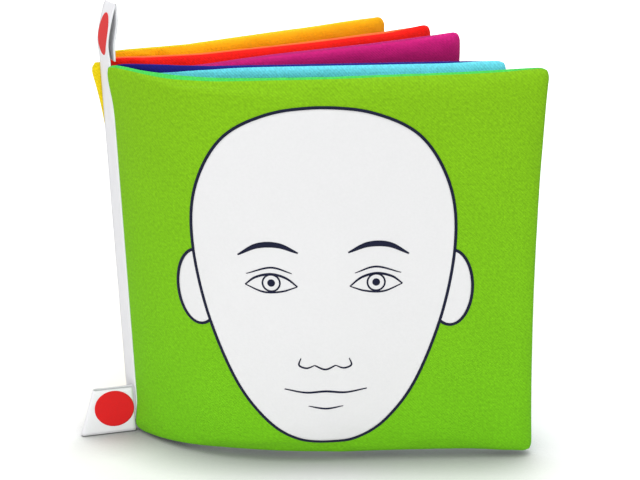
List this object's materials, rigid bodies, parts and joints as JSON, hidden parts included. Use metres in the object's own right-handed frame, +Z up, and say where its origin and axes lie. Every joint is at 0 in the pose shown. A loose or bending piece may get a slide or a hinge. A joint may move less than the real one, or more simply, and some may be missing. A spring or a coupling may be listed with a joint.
{
  "type": "soft book",
  "caption": "Soft cloth book with padded fabric leaves in bright colours, standing open in a fan on its lower edges, bound at a taped spine with a tape loop and a side tab.",
  "frame": {"origin": "foot of the spine, on the surface the book stands on, midway between the front cover's root and the back cover's root", "axes": "+Z up along the spine, +X to the right along the standing book from the spine to its open end, +Y from the front cover towards the back cover; the leaves fan out from bearing -10 to 45 degrees about +Z"},
  "size_m": [0.1854, 0.1685, 0.1813],
  "materials": {
    "lime_fabric": "velour, lime green",
    "green_fabric": "velour, spring green",
    "wadding": "loose polyester wadding",
    "cyan_fabric": "velour, light blue",
    "blue_fabric": "velour, dark blue",
    "magenta_fabric": "velour, deep pink",
    "rose_fabric": "velour, deep pink",
    "red_fabric": "velour, red",
    "vermilion_fabric": "velour, orange red",
    "orange_fabric": "velour, orange",
    "yellow_fabric": "velour, yellow",
    "tape": "woven satin tape, white",
    "mark_ink": "printed mark, red",
    "print_white": "printed cotton, white"
  },
  "bodies": {
    "pages": {"first_page_front": "cyan_fabric", "first_page_back": "blue_fabric", "first_page_padding": "wadding", "second_page_front": "magenta_fabric", "second_page_back": "rose_fabric", "second_page_padding": "wadding", "third_page_front": "red_fabric", "third_page_back": "vermilion_fabric", "third_page_padding": "wadding", "label_tape": "tape", "tape_marks": "mark_ink"},
    "front_cover": {"front_cover_outside": "lime_fabric", "front_cover_inside": "green_fabric", "front_cover_padding": "wadding", "cover_print": "print_white"},
    "back_cover": {"back_cover_inside": "orange_fabric", "back_cover_outside": "yellow_fabric", "back_cover_padding": "wadding"}
  },
  "joints": [
    {"name": "front_cover_hinge", "type": "hinge", "parent": "pages", "child": "front_cover", "pos_m": [0.00267, -0.00981, 0], "axis": [0, 0, 1], "range_deg": [-118, 2]},
    {"name": "back_cover_hinge", "type": "hinge", "parent": "pages", "child": "back_cover", "pos_m": [-0.0049, 0.00891, 0], "axis": [0, 0, 1], "range_deg": [-4, 150]}
  ]
}
